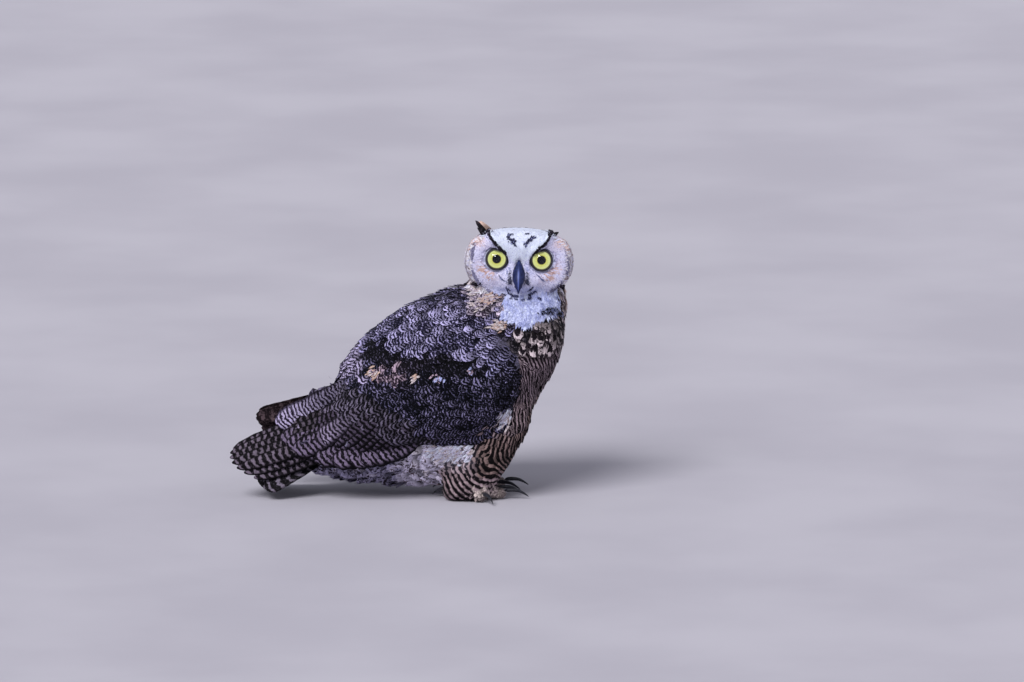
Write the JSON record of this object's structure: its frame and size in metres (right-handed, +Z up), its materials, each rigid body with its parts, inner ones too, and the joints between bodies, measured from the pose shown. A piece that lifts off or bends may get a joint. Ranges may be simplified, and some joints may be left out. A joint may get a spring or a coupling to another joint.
{
  "type": "great horned owl model",
  "caption": "Life-size still model of a great horned owl standing low on the ground, wings folded and head turned to its right.",
  "frame": {"origin": "on the floor, under the centre of the bird's bounding box", "axes": "+Z up, +X the way the body faces, from tail to breast, +Y to the bird's left; the face looks along -Y"},
  "size_m": [0.4098, 0.204, 0.3306],
  "materials": {
    "back_plumage": "dark brown feathers with fine pale grey wavy lines, matt",
    "breast_plumage": "buff and white feathers with narrow dark bars, matt",
    "face_plumage": "white and buff downy feathers with dark rims and specks, matt",
    "ear_tufts": "blackish brown feathers with buff edges, matt",
    "flight_feathers": "stiff dark brown feathers with pale mottled bands, slight sheen",
    "toe_plumage": "short buff downy feathers, matt",
    "eyes": "wet yellow iris round a black pupil, very glossy",
    "bare_skin": "dark wrinkled skin of the eyelids and between the feathers",
    "horn": "blue-black horn, satin"
  },
  "bodies": {
    "root": {"trunk": "breast_plumage", "neck": "face_plumage", "head": "face_plumage", "bill_upper": "horn", "bill_lower": "horn", "ear_tuft_right": "ear_tufts", "ear_tuft_left": "ear_tufts", "tail": "flight_feathers", "eye_right": "eyes", "wing_right": "back_plumage", "secondaries_right": "flight_feathers", "primaries_right": "flight_feathers", "leg_right": "breast_plumage", "foot_right": "toe_plumage", "toe_right_1": "toe_plumage", "claw_right_1": "horn", "toe_right_2": "toe_plumage", "claw_right_2": "horn", "toe_right_3": "toe_plumage", "claw_right_3": "horn", "toe_right_4": "toe_plumage", "claw_right_4": "horn", "eye_left": "eyes", "wing_left": "back_plumage", "secondaries_left": "flight_feathers", "primaries_left": "flight_feathers", "leg_left": "breast_plumage", "foot_left": "toe_plumage", "toe_left_1": "toe_plumage", "claw_left_1": "horn", "toe_left_2": "toe_plumage", "claw_left_2": "horn", "toe_left_3": "toe_plumage", "claw_left_3": "horn", "toe_left_4": "toe_plumage", "claw_left_4": "horn"}
  },
  "joints": []
}
